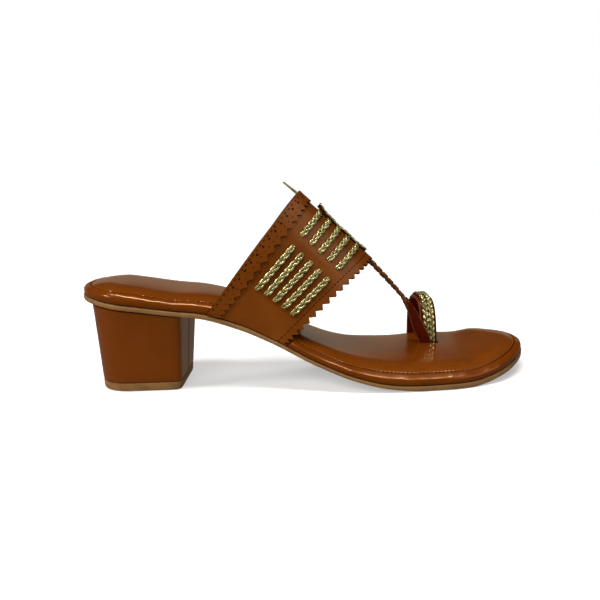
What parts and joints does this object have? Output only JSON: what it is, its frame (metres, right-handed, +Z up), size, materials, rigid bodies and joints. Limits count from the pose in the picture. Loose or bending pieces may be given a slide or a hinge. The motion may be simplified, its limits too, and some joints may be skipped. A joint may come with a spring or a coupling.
{
  "type": "heeled sandal",
  "caption": "Heeled slip-on sandal with a block heel, padded footbed with a rolled rim, a pinked instep band with gold braids, a thong and a toe ring.",
  "frame": {"origin": "on the floor, under the middle of the outsole's outline", "axes": "+X to the toe, +Y to the medial side (big toe), +Z up"},
  "size_m": [0.2392, 0.0848, 0.1059],
  "materials": {
    "leather": "smooth glossy brown leather",
    "heel_leather": "smooth glossy brown heel covering",
    "insole_leather": "glossy brown padded sock",
    "sole": "matte tan unit sole and heel lift",
    "gold_braid": "metallic gold plaited cord"
  },
  "bodies": {
    "root": {"outsole": "sole", "heel_top_piece": "sole", "heel_block": "heel_leather", "footbed": "leather", "insole": "insole_leather", "upper": "leather", "collar_overlay": "leather", "braid_lateral_1": "gold_braid", "braid_lateral_2": "gold_braid", "braid_lateral_3": "gold_braid", "braid_lateral_4": "gold_braid", "braid_lateral_5": "gold_braid", "braid_centre_1": "gold_braid", "braid_centre_2": "gold_braid", "braid_centre_3": "gold_braid", "braid_centre_4": "gold_braid", "braid_centre_5": "gold_braid", "braid_medial_1": "gold_braid", "braid_medial_2": "gold_braid", "braid_medial_3": "gold_braid", "braid_medial_4": "gold_braid", "braid_medial_5": "gold_braid", "ridge_strip": "gold_braid", "strip_tail": "gold_braid", "toe_ring_braid": "gold_braid"}
  },
  "joints": []
}
